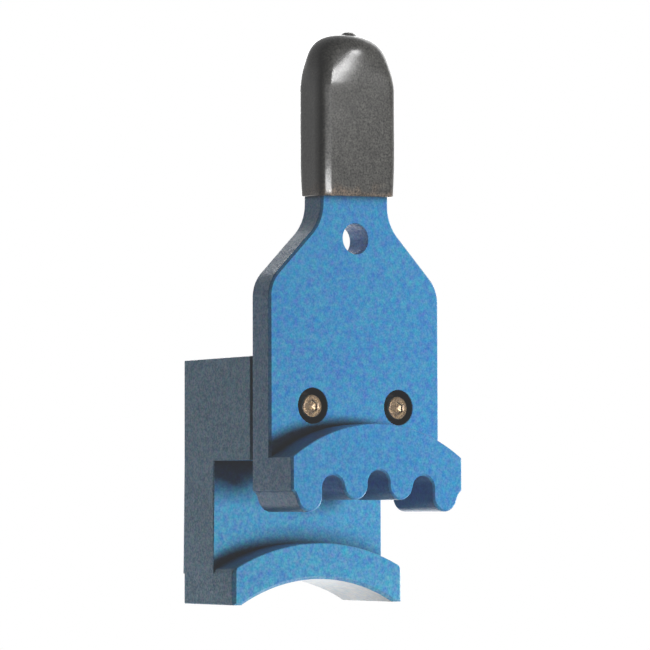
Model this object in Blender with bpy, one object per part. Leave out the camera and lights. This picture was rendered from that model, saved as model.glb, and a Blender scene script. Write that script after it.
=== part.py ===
"""Holding jaw for a toothed wheel: a toothed front jaw with a dipped handle on a C-shaped rear saddle.

Frame, in metres: X = 0 is the plane of symmetry, Z = 0 the underside of the saddle's two feet, and
Y = 0 the middle of the whole depth. The toothed face looks along -Y. The wheel that the tool holds
has its axis along Y, below the feet.
"""

import math

import bmesh
import bpy
from mathutils import Vector

MM = 0.001
TINY = 0.001 * MM

# Overall sizes
WIDTH = 48.0 * MM
PLATE_THICKNESS = 7.1 * MM
JAW_REACH = 8.6 * MM
PLATE_FRONT_TO_REAR = 34.9 * MM
FIT_GAP = 0.3 * MM

# Arcs that share the held wheel's axis
WHEEL_AXIS_Z = -38.2 * MM
ROOT_RADIUS = 68.6 * MM
TIP_RADIUS = 62.25 * MM
HUB_RADIUS = 43.8 * MM
LEDGE_TOP_RADIUS = 52.1 * MM
LEDGE_CORNER_RADIUS = 1.8 * MM

# Toothed jaw
TOOTH_PITCH = 12.7 * MM
NOTCH_RADIUS = 2.85 * MM
FINGER_RADIUS = TOOTH_PITCH / 2 - NOTCH_RADIUS
NOTCHES_EACH_SIDE = 2
SIDE_NOTCH_RAISE = 0.7 * MM
JAW_TOP_RADIUS = 40.9 * MM

# Plate, neck and tang
SHOULDER_Z = 72.6 * MM
SHOULDER_RADIUS = 8.0 * MM
NECK_WIDTH = 19.0 * MM
NECK_RADIUS = 10.0 * MM
NECK_Z = SHOULDER_Z + (WIDTH - NECK_WIDTH) / 2
TANG_TOP_Z = 128.3 * MM
TANG_TOP_RADIUS = 7.6 * MM
HANG_HOLE_Z = 83.3 * MM
HANG_HOLE_DIAMETER = 7.1 * MM

# Rear saddle
LEDGE_DEPTH_FROM_PLATE = 14.3 * MM
RECESS_DEPTH_FROM_PLATE = 22.4 * MM
PAD_BOTTOM_Z = 32.8 * MM
PAD_TOP_Z = 56.2 * MM

# Dipped grip
GRIP_WALL = 1.0 * MM
GRIP_BOTTOM_Z = 92.65 * MM
GRIP_TOP_Z = 130.0 * MM
GRIP_TOP_RADIUS = 8.8 * MM
GRIP_EDGE_RADIUS = 2.3 * MM
DRIP_RADIUS = 2.1 * MM
DRIP_HEIGHT = 0.9 * MM

# Screws, washers and thread inserts
SCREW_SPACING = 24.2 * MM
SCREW_Z = 44.8 * MM
HEAD_DIAMETER = 5.5 * MM
HEAD_HEIGHT = 3.0 * MM
HEAD_RECESS = 0.15 * MM
HEAD_EDGE = 0.3 * MM
SHANK_DIAMETER = 3.0 * MM
SHANK_LENGTH = 12.0 * MM
SHANK_TIP = 0.5 * MM
SOCKET_ACROSS_FLATS = 2.5 * MM
SOCKET_DEPTH = 1.3 * MM
SOCKET_POINT = 0.5 * MM
COUNTERBORE_DIAMETER = 8.15 * MM
CLEARANCE_DIAMETER = 3.9 * MM
LOOSE_DIAMETER = 3.6 * MM
SCREW_SAG = 0.15 * MM
WASHER_DIAMETER = 7.0 * MM
WASHER_THICKNESS = 0.5 * MM
INSERT_DIAMETER = 4.6 * MM
INSERT_LENGTH = 6.0 * MM
INSERT_SETBACK = 0.6 * MM
TAPPED_DEPTH = 9.6 * MM
DRILL_POINT = 1.0 * MM

# Dowel pins that keep the two machined parts in line
DOWEL_SPACING = 36.0 * MM
DOWEL_Z = 51.0 * MM
DOWEL_DIAMETER = 4.0 * MM
DOWEL_LENGTH = 14.0 * MM
DOWEL_EDGE = 0.4 * MM
DOWEL_PLATE_DEPTH = 5.0 * MM
DOWEL_PAD_DEPTH = 10.0 * MM

# Edge breaks
JAW_CHAMFER = 0.5 * MM
SADDLE_CHAMFER = 0.5 * MM
CONVEX_ANGLE = math.radians(40)

# Facets
ARC_STEP = math.radians(4)
TOOTH_STEP = math.radians(10)
CORNER_STEP = math.radians(11.25)
TURNED_SEGMENTS = 32
HEXAGON = 6
GRIP_EDGE_SEGMENTS = 4
DRIP_SEGMENTS = 16
CUTTER_OVERRUN = 1.0 * MM

# Places along Y, worked out from the sizes above
HALF_WIDTH = WIDTH / 2
TOTAL_DEPTH = JAW_REACH + PLATE_FRONT_TO_REAR
JAW_FRONT_Y = -TOTAL_DEPTH / 2
PLATE_FRONT_Y = JAW_FRONT_Y + JAW_REACH
PLATE_BACK_Y = PLATE_FRONT_Y + PLATE_THICKNESS
PAD_FRONT_Y = PLATE_BACK_Y + FIT_GAP
LEDGE_FRONT_Y = PLATE_FRONT_Y + LEDGE_DEPTH_FROM_PLATE
RECESS_Y = PLATE_FRONT_Y + RECESS_DEPTH_FROM_PLATE
REAR_Y = TOTAL_DEPTH / 2
HEAD_TOP_Y = PLATE_FRONT_Y + HEAD_RECESS
WASHER_Y = HEAD_TOP_Y + HEAD_HEIGHT + FIT_GAP
COUNTERBORE_FLOOR_Y = WASHER_Y + WASHER_THICKNESS + FIT_GAP
INSERT_Y = PAD_FRONT_Y + INSERT_SETBACK
DOWEL_START_Y = PLATE_BACK_Y - DOWEL_PLATE_DEPTH + FIT_GAP

SIDES = {"left": -1, "right": 1}


# Outlines are lists of Vector (x, z), seen from the front.

def height_on_wheel(radius, x):
    """Height of the top of a circle about the wheel's axis, at x."""
    return WHEEL_AXIS_Z + math.sqrt(radius**2 - x**2)


def arc(centre, radius, start, end, step):
    """Points on a circle from the start angle to the end angle, both included."""
    count = max(1, math.ceil(abs(end - start) / step))
    angles = [start + (end - start) * i / count for i in range(count + 1)]
    return [centre + radius * Vector((math.cos(a), math.sin(a))) for a in angles]


def arch(radius, centre_z, half_width, step=ARC_STEP):
    """Crown of a circle centred on X = 0, from its right end to its left end."""
    reach = math.acos(half_width / radius)
    return arc(Vector((0, centre_z)), radius, reach, math.pi - reach, step)


def rounded_path(corners):
    """An open path through (x, z, radius) corners, each corner rounded to its radius."""
    points = []
    for index, (x, z, radius) in enumerate(corners):
        corner = Vector((x, z))
        if radius == 0:
            points.append(corner)
            continue
        before = (Vector(corners[index - 1][:2]) - corner).normalized()
        after = (Vector(corners[index + 1][:2]) - corner).normalized()
        half_angle = before.angle(after) / 2
        centre = corner + (before + after).normalized() * radius / math.sin(half_angle)
        first = corner + before * radius / math.tan(half_angle) - centre
        last = corner + after * radius / math.tan(half_angle) - centre
        start = math.atan2(first.y, first.x)
        turn = (math.atan2(last.y, last.x) - start + math.pi) % math.tau - math.pi
        points += arc(centre, radius, start, start + turn, CORNER_STEP)
    return points


def tangent_angle(centre_a, signed_a, centre_b, signed_b):
    """Direction of the shared normal where a path leaves circle a for circle b.

    Fingers, which the path rounds on the outside, have positive radii, and notches negative ones.
    """
    between = centre_b - centre_a
    return math.atan2(between.y, between.x) - math.acos((signed_a - signed_b) / between.length)


def tooth_edge():
    """The toothed underside, left to right: round notches and fingers on two circles about the wheel's axis.

    The side faces cut the outermost notches in half.
    """
    rounds = []
    last_step = 2 * NOTCHES_EACH_SIDE
    for step in range(-last_step, last_step + 1):
        x = step * TOOTH_PITCH / 2
        if step % 2 == 0:
            lift = SIDE_NOTCH_RAISE if abs(step) == last_step else 0
            rounds.append((Vector((x, height_on_wheel(ROOT_RADIUS, x) - NOTCH_RADIUS + lift)), -NOTCH_RADIUS))
        else:
            rounds.append((Vector((x, height_on_wheel(TIP_RADIUS, x) + FINGER_RADIUS)), FINGER_RADIUS))
    side_angle = math.acos((rounds[-1][0].x - HALF_WIDTH) / NOTCH_RADIUS)
    angles = [side_angle - math.pi]
    angles += [tangent_angle(*a, *b) for a, b in zip(rounds, rounds[1:])]
    angles += [-side_angle]
    points = []
    for (centre, radius), start, end in zip(rounds, angles, angles[1:]):
        start += math.tau * round((-math.pi / 2 - start) / math.tau)
        end += math.tau * round((-math.pi / 2 - end) / math.tau)
        points += arc(centre, radius, start, end, TOOTH_STEP)
    return points


def jaw_arch():
    """Crowned top of the toothed jaw, right to left."""
    return arch(JAW_TOP_RADIUS, 0, HALF_WIDTH)


def plate_outline():
    """Right side face, shoulder, neck and rounded tang, then down the left side. The jaw's arch closes it."""
    half_neck = NECK_WIDTH / 2
    right = [
        (HALF_WIDTH, SHOULDER_Z, SHOULDER_RADIUS),
        (half_neck, NECK_Z, NECK_RADIUS),
        (half_neck, TANG_TOP_Z, TANG_TOP_RADIUS),
    ]
    left = [(-x, z, radius) for x, z, radius in reversed(right)]
    start = jaw_arch()[0]
    ends = [(start.x, start.y, 0), (-start.x, start.y, 0)]
    return rounded_path(ends[:1] + right + left + ends[1:])


def handle_outline(half_width, bottom, top, radius):
    """A strip with a square bottom and a rounded top."""
    right = [(half_width, bottom, 0), (half_width, top, radius)]
    left = [(-x, z, corner_radius) for x, z, corner_radius in reversed(right)]
    return rounded_path(right + left)


def ledge_top_edge():
    """Top of the saddle's ledge, right to left, with its two upper corners rounded into the side faces."""
    reach = LEDGE_TOP_RADIUS - LEDGE_CORNER_RADIUS
    corner_x = HALF_WIDTH - LEDGE_CORNER_RADIUS
    corner = Vector((corner_x, height_on_wheel(reach, corner_x)))
    meet = math.acos(corner_x / reach)
    right = arc(corner, LEDGE_CORNER_RADIUS, 0, meet, CORNER_STEP)
    top = arc(Vector((0, WHEEL_AXIS_Z)), LEDGE_TOP_RADIUS, meet, math.pi - meet, ARC_STEP)
    left = [Vector((-p.x, p.y)) for p in reversed(right)]
    return right + top[1:-1] + left


def hub_edge():
    """Underside of the saddle, left to right: a foot, the arch that rides on the hub, and the other foot."""
    foot_x = math.sqrt(HUB_RADIUS**2 - WHEEL_AXIS_Z**2)
    arch_left_to_right = list(reversed(arch(HUB_RADIUS, WHEEL_AXIS_Z, foot_x)))
    return [Vector((-HALF_WIDTH, 0))] + arch_left_to_right + [Vector((HALF_WIDTH, 0))]


# Meshes

def face_at(bm, y, outline, known):
    """A face in the plane Y = y. Outlines that share points share vertices."""
    corners = []
    for point in outline:
        key = (round(point.x / TINY), round(point.y / TINY))
        if key not in known:
            known[key] = bm.verts.new((point.x, y, point.y))
        if known[key] not in corners:
            corners.append(known[key])
    return bm.faces.new(corners)


def extrude_to(bm, faces, y):
    """Extrudes faces along Y until their copies lie at y, and leaves none of them inside the body."""
    inside = [face for face in faces if all(len(edge.link_faces) == 2 for edge in face.edges)]
    made = bmesh.ops.extrude_face_region(bm, geom=faces)["geom"]
    for element in made:
        if isinstance(element, bmesh.types.BMVert):
            element.co.y = y
    leftover = [face for face in inside if face.is_valid]
    bmesh.ops.delete(bm, geom=leftover, context="FACES_ONLY")


def mark_edge_breaks(bm, weigh):
    """Gives every sharp outer edge the bevel weight that weigh(middle of the edge) returns."""
    weight = bm.edges.layers.float.new("bevel_weight_edge")
    for edge in bm.edges:
        if edge.calc_face_angle_signed(0) > CONVEX_ANGLE:
            edge[weight] = weigh((edge.verts[0].co + edge.verts[1].co) / 2)


def finish_mesh(name, bm):
    """Turns a bmesh into an object that is shaded smooth where it is round."""
    bmesh.ops.recalc_face_normals(bm, faces=bm.faces)
    mesh = bpy.data.meshes.new(name)
    bm.to_mesh(mesh)
    bm.free()
    mesh.shade_smooth()
    mesh.set_sharp_from_angle(angle=math.radians(30))
    item = bpy.data.objects.new(name, mesh)
    bpy.context.scene.collection.objects.link(item)
    return item


def prism(name, outline, front, back):
    """An outline extruded along Y from front to back."""
    bm = bmesh.new()
    extrude_to(bm, [face_at(bm, front, outline, {})], back)
    return finish_mesh(name, bm)


def turned(name, profile, location, segments=TURNED_SEGMENTS, tube=False):
    """A solid turned about the line through its location along Y. The profile lists (radius, y)."""
    bm = bmesh.new()
    rings = []
    for radius, y in profile:
        count = segments if radius > 0 else 1
        angles = [math.tau * i / segments for i in range(count)]
        rings.append([bm.verts.new((radius * math.cos(a), y, radius * math.sin(a))) for a in angles])
    pairs = list(zip(rings, rings[1:] + rings[:1])) if tube else list(zip(rings, rings[1:]))
    for near, far in pairs:
        for i in range(segments):
            j = (i + 1) % segments
            corners = [near[i % len(near)], near[j % len(near)], far[j % len(far)], far[i % len(far)]]
            bm.faces.new(list(dict.fromkeys(corners)))
    item = finish_mesh(name, bm)
    item.location = location
    return item


def hide_cutter(cutter):
    cutter.hide_render = True
    cutter.display_type = "WIRE"


def combine(item, tool, operation):
    """Leaves an exact Boolean on the item and hides its tool."""
    boolean = item.modifiers.new(tool.name, "BOOLEAN")
    boolean.solver = "EXACT"
    boolean.operation = operation
    boolean.object = tool
    hide_cutter(tool)


def bevel(item, width, segments):
    modifier = item.modifiers.new("edge_breaks", "BEVEL")
    modifier.limit_method = "WEIGHT"
    modifier.width = width
    modifier.segments = segments
    modifier.use_clamp_overlap = False
    modifier.harden_normals = True


def make_material(name, colour, roughness, metallic):
    material = bpy.data.materials.new(name)
    material.use_nodes = True
    shader = material.node_tree.nodes["Principled BSDF"]
    shader.inputs["Base Color"].default_value = (*colour, 1)
    shader.inputs["Roughness"].default_value = roughness
    shader.inputs["Metallic"].default_value = metallic
    material.diffuse_color = (*colour, 1)
    return material


# Sub-parts

def make_front_jaw():
    """Toothed jaw, plate, shoulders, neck and the tang inside the grip, machined in one piece."""
    bm = bmesh.new()
    known = {}
    crown = jaw_arch()
    jaw_face = face_at(bm, PLATE_FRONT_Y, tooth_edge() + crown, known)
    plate_face = face_at(bm, PLATE_FRONT_Y, list(reversed(crown)) + plate_outline(), known)
    extrude_to(bm, [jaw_face, plate_face], PLATE_BACK_Y)
    extrude_to(bm, [jaw_face], JAW_FRONT_Y)
    bmesh.ops.recalc_face_normals(bm, faces=bm.faces)

    def weigh(middle):
        on_plate = min(abs(middle.y - PLATE_FRONT_Y), abs(middle.y - PLATE_BACK_Y)) < TINY
        on_teeth = abs(middle.y - JAW_FRONT_Y) < TINY and middle.z < crown[0].y
        return 1.0 if on_plate or on_teeth else 0.4

    mark_edge_breaks(bm, weigh)
    jaw = finish_mesh("front_jaw", bm)
    bevel(jaw, JAW_CHAMFER, 1)
    radius = HANG_HOLE_DIAMETER / 2
    hole = [
        (0, -CUTTER_OVERRUN),
        (radius, -CUTTER_OVERRUN),
        (radius, PLATE_THICKNESS + CUTTER_OVERRUN),
        (0, PLATE_THICKNESS + CUTTER_OVERRUN),
    ]
    combine(jaw, turned("hang_hole_cutter", hole, (0, PLATE_FRONT_Y, HANG_HOLE_Z)), "DIFFERENCE")
    return jaw


def make_rear_saddle():
    """C-shaped block: a screw pad on top, a recess, and a crowned ledge whose underside rides on the hub."""
    bm = bmesh.new()
    known = {}
    ledge_top = ledge_top_edge()
    pad_bottom = [Vector((-HALF_WIDTH, PAD_BOTTOM_Z)), Vector((HALF_WIDTH, PAD_BOTTOM_Z))]
    pad_top = [Vector((HALF_WIDTH, PAD_TOP_Z)), Vector((-HALF_WIDTH, PAD_TOP_Z))]
    pad_face = face_at(bm, RECESS_Y, pad_bottom + pad_top, known)
    ledge_face = face_at(bm, RECESS_Y, hub_edge() + ledge_top, known)
    recess_face = face_at(bm, RECESS_Y, ledge_top[::-1] + pad_bottom[::-1], known)
    extrude_to(bm, [pad_face, recess_face, ledge_face], REAR_Y)
    extrude_to(bm, [pad_face], PAD_FRONT_Y)
    extrude_to(bm, [ledge_face], LEDGE_FRONT_Y)
    bmesh.ops.recalc_face_normals(bm, faces=bm.faces)

    mark_edge_breaks(bm, lambda middle: 1.0 if middle.y < RECESS_Y - TINY else 0.5)
    saddle = finish_mesh("rear_saddle", bm)
    bevel(saddle, SADDLE_CHAMFER, 1)
    return saddle


def make_grip():
    """Dipped vinyl sleeve over the tang, with the small drip that dipping leaves on top."""
    half_inner = NECK_WIDTH / 2 + FIT_GAP
    half_outer = half_inner + GRIP_WALL
    wall = GRIP_WALL + FIT_GAP
    outline = handle_outline(half_outer, GRIP_BOTTOM_Z, GRIP_TOP_Z, GRIP_TOP_RADIUS)
    bm = bmesh.new()
    extrude_to(bm, [face_at(bm, PLATE_FRONT_Y - wall, outline, {})], PLATE_BACK_Y + wall)
    bmesh.ops.recalc_face_normals(bm, faces=bm.faces)
    mark_edge_breaks(bm, lambda middle: 1.0 if middle.z > GRIP_BOTTOM_Z + TINY else 0.0)
    grip = finish_mesh("vinyl_grip", bm)
    bevel(grip, GRIP_EDGE_RADIUS, GRIP_EDGE_SEGMENTS)

    bm = bmesh.new()
    bmesh.ops.create_uvsphere(bm, u_segments=DRIP_SEGMENTS, v_segments=DRIP_SEGMENTS // 2, radius=DRIP_RADIUS)
    for vertex in bm.verts:
        vertex.co.z *= DRIP_HEIGHT / DRIP_RADIUS
    drip = finish_mesh("drip_tool", bm)
    drip.location = (0, (PLATE_FRONT_Y + PLATE_BACK_Y) / 2, GRIP_TOP_Z)
    combine(grip, drip, "UNION")

    pocket = handle_outline(
        half_inner, GRIP_BOTTOM_Z - CUTTER_OVERRUN, TANG_TOP_Z + FIT_GAP, TANG_TOP_RADIUS + FIT_GAP
    )
    cutter = prism("grip_pocket_cutter", pocket, PLATE_FRONT_Y - FIT_GAP, PLATE_BACK_Y + FIT_GAP)
    combine(grip, cutter, "DIFFERENCE")
    return grip


def make_screw(side, x):
    """Socket head cap screw. Its origin is the centre of the head's top face."""
    head = HEAD_DIAMETER / 2
    shank = SHANK_DIAMETER / 2
    tip_y = HEAD_HEIGHT + SHANK_LENGTH
    profile = [
        (0, 0),
        (head - HEAD_EDGE, 0),
        (head, HEAD_EDGE),
        (head, HEAD_HEIGHT),
        (shank, HEAD_HEIGHT),
        (shank, tip_y - SHANK_TIP),
        (shank - SHANK_TIP, tip_y),
        (0, tip_y),
    ]
    screw = turned(f"cap_screw_{side}", profile, (x, HEAD_TOP_Y, SCREW_Z))
    corner = SOCKET_ACROSS_FLATS / 2 / math.cos(math.pi / HEXAGON)
    socket = [
        (0, -CUTTER_OVERRUN),
        (corner, -CUTTER_OVERRUN),
        (corner, SOCKET_DEPTH),
        (0, SOCKET_DEPTH + SOCKET_POINT),
    ]
    cutter = turned(f"socket_cutter_{side}", socket, (x, HEAD_TOP_Y, SCREW_Z), HEXAGON)
    combine(screw, cutter, "DIFFERENCE")
    return screw


def make_tube(name, outer, inner, length, location):
    """A plain ring or sleeve along Y that starts at its location."""
    profile = [(inner / 2, 0), (outer / 2, 0), (outer / 2, length), (inner / 2, length)]
    return turned(name, profile, location, tube=True)


def make_dowel(side, x):
    radius = DOWEL_DIAMETER / 2
    profile = [
        (0, 0),
        (radius - DOWEL_EDGE, 0),
        (radius, DOWEL_EDGE),
        (radius, DOWEL_LENGTH - DOWEL_EDGE),
        (radius - DOWEL_EDGE, DOWEL_LENGTH),
        (0, DOWEL_LENGTH),
    ]
    return turned(f"dowel_pin_{side}", profile, (x, DOWEL_START_Y, DOWEL_Z))


def bore_for_screw(jaw, saddle, side, x):
    """Counterbored clearance hole through the plate, and the blind, stepped hole behind it in the pad.

    The screw sits low in its clearance hole by SCREW_SAG.
    """
    counterbore = COUNTERBORE_DIAMETER / 2
    clearance = CLEARANCE_DIAMETER / 2
    floor = COUNTERBORE_FLOOR_Y - PLATE_FRONT_Y
    through = PLATE_THICKNESS + CUTTER_OVERRUN
    in_plate = [
        (0, -CUTTER_OVERRUN),
        (counterbore, -CUTTER_OVERRUN),
        (counterbore, floor),
        (clearance, floor),
        (clearance, through),
        (0, through),
    ]
    plate_hole = (x, PLATE_FRONT_Y, SCREW_Z + SCREW_SAG)
    combine(jaw, turned(f"counterbore_cutter_{side}", in_plate, plate_hole), "DIFFERENCE")
    loose = LOOSE_DIAMETER / 2
    pocket = INSERT_DIAMETER / 2 + FIT_GAP
    pocket_end = INSERT_SETBACK + INSERT_LENGTH + FIT_GAP
    in_pad = [
        (0, -CUTTER_OVERRUN),
        (pocket, -CUTTER_OVERRUN),
        (pocket, pocket_end),
        (loose, pocket_end),
        (loose, TAPPED_DEPTH),
        (0, TAPPED_DEPTH + DRILL_POINT),
    ]
    combine(saddle, turned(f"tapped_hole_cutter_{side}", in_pad, (x, PAD_FRONT_Y, SCREW_Z)), "DIFFERENCE")


def bore_for_dowel(jaw, saddle, side, x):
    """Blind dowel holes that face each other across the joint between plate and pad."""
    radius = DOWEL_DIAMETER / 2 + FIT_GAP
    in_plate = [
        (0, -DOWEL_PLATE_DEPTH),
        (radius, -DOWEL_PLATE_DEPTH),
        (radius, CUTTER_OVERRUN),
        (0, CUTTER_OVERRUN),
    ]
    in_pad = [
        (0, -CUTTER_OVERRUN),
        (radius, -CUTTER_OVERRUN),
        (radius, DOWEL_PAD_DEPTH),
        (0, DOWEL_PAD_DEPTH + DRILL_POINT),
    ]
    combine(jaw, turned(f"plate_dowel_cutter_{side}", in_plate, (x, PLATE_BACK_Y, DOWEL_Z)), "DIFFERENCE")
    combine(saddle, turned(f"pad_dowel_cutter_{side}", in_pad, (x, PAD_FRONT_Y, DOWEL_Z)), "DIFFERENCE")


def main():
    for item in list(bpy.data.objects):
        bpy.data.objects.remove(item)

    blue = make_material("blue_anodised", (0.06, 0.24, 0.55), 0.42, 0.75)
    vinyl = make_material("dark_vinyl", (0.09, 0.09, 0.085), 0.35, 0.0)
    gold = make_material("yellow_zinc", (0.55, 0.40, 0.22), 0.25, 1.0)
    black = make_material("black_oxide", (0.02, 0.02, 0.022), 0.45, 0.8)
    steel = make_material("bright_steel", (0.55, 0.55, 0.56), 0.25, 1.0)

    jaw = make_front_jaw()
    saddle = make_rear_saddle()
    finished = [(jaw, blue), (saddle, blue), (make_grip(), vinyl)]
    for side, sign in SIDES.items():
        screw_x = sign * SCREW_SPACING / 2
        dowel_x = sign * DOWEL_SPACING / 2
        bore_for_screw(jaw, saddle, side, screw_x)
        bore_for_dowel(jaw, saddle, side, dowel_x)
        washer_sizes = (WASHER_DIAMETER, LOOSE_DIAMETER, WASHER_THICKNESS)
        insert_sizes = (INSERT_DIAMETER, LOOSE_DIAMETER, INSERT_LENGTH)
        washer = make_tube(f"washer_{side}", *washer_sizes, (screw_x, WASHER_Y, SCREW_Z))
        insert = make_tube(f"thread_insert_{side}", *insert_sizes, (screw_x, INSERT_Y, SCREW_Z))
        finished += [
            (make_screw(side, screw_x), gold),
            (washer, black),
            (insert, steel),
            (make_dowel(side, dowel_x), steel),
        ]

    tool = bpy.data.objects.new("holding_jaw", None)
    bpy.context.scene.collection.objects.link(tool)
    for item, material in finished:
        item.data.materials.append(material)
        item.parent = tool


main()
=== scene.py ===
"""Looks for the holding jaw: two bead-blasted, blue anodised parts, a dipped vinyl grip and their fasteners.

Metres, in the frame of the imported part: the toothed face looks along -Y, X = 0 is the plane of symmetry and
Z = 0 is the underside of the saddle's two feet.
"""

import math
from dataclasses import dataclass

import bmesh
import bpy
from mathutils import Matrix, Vector, noise


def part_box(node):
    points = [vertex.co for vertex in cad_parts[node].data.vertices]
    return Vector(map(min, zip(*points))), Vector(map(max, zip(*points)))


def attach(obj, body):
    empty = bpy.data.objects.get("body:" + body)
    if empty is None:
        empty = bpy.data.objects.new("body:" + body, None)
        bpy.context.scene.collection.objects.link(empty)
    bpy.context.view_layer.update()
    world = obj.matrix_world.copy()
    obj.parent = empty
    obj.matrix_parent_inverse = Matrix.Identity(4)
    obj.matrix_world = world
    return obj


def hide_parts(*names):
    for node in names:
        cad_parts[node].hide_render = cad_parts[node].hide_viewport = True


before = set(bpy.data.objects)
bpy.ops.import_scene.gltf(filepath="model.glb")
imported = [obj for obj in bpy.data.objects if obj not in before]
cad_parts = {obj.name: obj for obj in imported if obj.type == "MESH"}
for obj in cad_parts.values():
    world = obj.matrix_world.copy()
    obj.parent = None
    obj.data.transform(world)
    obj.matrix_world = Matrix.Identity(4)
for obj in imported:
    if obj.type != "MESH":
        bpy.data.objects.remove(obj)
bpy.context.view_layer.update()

BODY = "root"
MM = 0.001
TINY = 0.002 * MM
EIGHTH_TURN = math.pi / 4

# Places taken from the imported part
jaw_low, jaw_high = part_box("front_jaw")
saddle_low, saddle_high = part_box("rear_saddle")
grip_low, grip_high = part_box("vinyl_grip")
HALF_WIDTH = jaw_high.x
JAW_FRONT_Y = jaw_low.y
PLATE_BACK_Y = jaw_high.y
TANG_TOP_Z = jaw_high.z
PAD_FRONT_Y = saddle_low.y
PAD_TOP_Z = saddle_high.z
REAR_Y = saddle_high.y
MOUTH_Z = grip_low.z

# Machined sizes
PLATE_THICKNESS = 7.1 * MM
PLATE_FRONT_Y = PLATE_BACK_Y - PLATE_THICKNESS
LEDGE_FRONT_Y = PLATE_FRONT_Y + 14.3 * MM
RECESS_Y = PLATE_FRONT_Y + 22.4 * MM
PAD_BOTTOM_Z = 32.8 * MM
WHEEL_AXIS_Z = -38.2 * MM
ROOT_RADIUS = 68.6 * MM
TIP_RADIUS = 62.25 * MM
HUB_RADIUS = 43.8 * MM
LEDGE_TOP_RADIUS = 52.1 * MM
LEDGE_CORNER_RADIUS = 1.8 * MM
TOOTH_PITCH = 12.7 * MM
NOTCH_RADIUS = 2.85 * MM
FINGER_RADIUS = TOOTH_PITCH / 2 - NOTCH_RADIUS
NOTCHES_EACH_SIDE = 2
SIDE_NOTCH_RAISE = 0.7 * MM
JAW_TOP_RADIUS = 40.9 * MM
SHOULDER_Z = 72.6 * MM
SHOULDER_RADIUS = 8.0 * MM
NECK_HALF_WIDTH = 9.5 * MM
NECK_RADIUS = 10.0 * MM
NECK_Z = SHOULDER_Z + HALF_WIDTH - NECK_HALF_WIDTH
TANG_TOP_RADIUS = 7.6 * MM
HANG_HOLE_Z = 83.3 * MM
HANG_HOLE_RADIUS = 3.55 * MM

# Edge breaks
EDGE_SOFTNESS = 0.12 * MM
EDGE_TAIL = EDGE_SOFTNESS * math.tan(EIGHTH_TURN / 2)
EDGE_STEPS = 3
PLATE_CUT = 0.55 * MM
TANG_TOP_CUT = 2.3 * MM
JAW_SIDE_CUT = 0.5 * MM
TOOTH_CUT = 0.45 * MM
ARCH_CUT = 0.2 * MM
BACK_CUT = 0.45 * MM
PAD_CUT = 0.4 * MM
RECESS_CUT = 0.28 * MM
LEDGE_SIDE_CUT = 0.8 * MM
FOOT_CUT = 0.5 * MM
HUB_CUT = 0.75 * MM
LEDGE_TOP_CUT = 0.2 * MM
CORNER_RADIUS = 0.3 * MM
HOLE_CUT = 0.12 * MM

# Holes
COUNTERBORE_RADIUS = 4.075 * MM
CLEARANCE_RADIUS = 1.95 * MM
LOOSE_RADIUS = 1.8 * MM
SCREW_SAG = 0.15 * MM
FIT_GAP = 0.3 * MM
DRILL_POINT = 1.0 * MM
HOLE_SEGMENTS = 96

ARC_STEP = math.radians(2.5)
SMALL_ARC_STEP = math.radians(6)
CORNER_STEPS = 4
NEWTON_STEPS = 6
SLIVER_PASSES = 3
PARALLEL = 0.02
SHARP_TURN = 0.4

SIDES = {"left": -1, "right": 1}


# Outlines, seen from the front in (x, z) and run counterclockwise

@dataclass
class Edge:
    """One stretch of an outline, from its start to the next edge's start.

    A straight edge has an outward normal and no radius. An arc has a centre, and a radius that is positive
    where the material bulges and negative where it is hollow. The cuts are the widths of the chamfers at the
    edge's start and end, on the outline's front face and on its back face.
    """

    start: Vector
    normal: Vector = None
    centre: Vector = None
    radius: float = 0.0
    steps: int = 1
    front: tuple = (0.0, 0.0)
    back: tuple = (0.0, 0.0)
    crisp: bool = False

    def sign(self):
        return math.copysign(1, self.radius)

    def normal_at(self, point):
        return self.normal if self.radius == 0 else (point - self.centre).normalized() * self.sign()

    def outside(self, point):
        """How far a point stands out of the material."""
        if self.radius == 0:
            return (point - self.start).dot(self.normal)
        return (point - self.centre).length * self.sign() - self.radius


def straight(start, end, front=0.0, back=0.0, crisp=False):
    along = (end - start).normalized()
    return Edge(start, Vector((along.y, -along.x)), front=(front, front), back=(back, back), crisp=crisp)


def bow(start, centre, radius, steps, front=0.0, back=0.0, crisp=False):
    return Edge(start, None, centre, radius, steps, (front, front), (back, back), crisp)


def steps_for(angle, step):
    return max(1, math.ceil(abs(angle) / step))


def meet(before, after, inset_before, inset_after):
    """Where two edges meet once each is moved into the material by its inset."""
    point = after.start.copy()
    for _ in range(NEWTON_STEPS):
        one, two = before.normal_at(point), after.normal_at(point)
        turn = one.cross(two)
        if abs(turn) < PARALLEL:
            return after.start - after.normal_at(after.start) * inset_after
        miss_one = before.outside(point) + inset_before
        miss_two = after.outside(point) + inset_after
        point.x -= (miss_one * two.y - miss_two * one.y) / turn
        point.y -= (one.x * miss_two - two.x * miss_one) / turn
    return point


def soften_corners(edges):
    """Puts a small arc into every sharp outer corner that isn't crisp."""
    softened = []
    for before, edge in zip(edges[-1:] + edges[:-1], edges):
        turn = before.normal_at(edge.start).cross(edge.normal_at(edge.start))
        if turn > SHARP_TURN and not edge.crisp:
            centre = meet(before, edge, CORNER_RADIUS, CORNER_RADIUS)
            start = centre + before.normal_at(centre) * CORNER_RADIUS
            edge.start = centre + edge.normal_at(centre) * CORNER_RADIUS
            front, back = (before.front[1], edge.front[0]), (before.back[1], edge.back[0])
            softened.append(Edge(start, None, centre, CORNER_RADIUS, CORNER_STEPS, front, back))
        softened.append(edge)
    return softened


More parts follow.
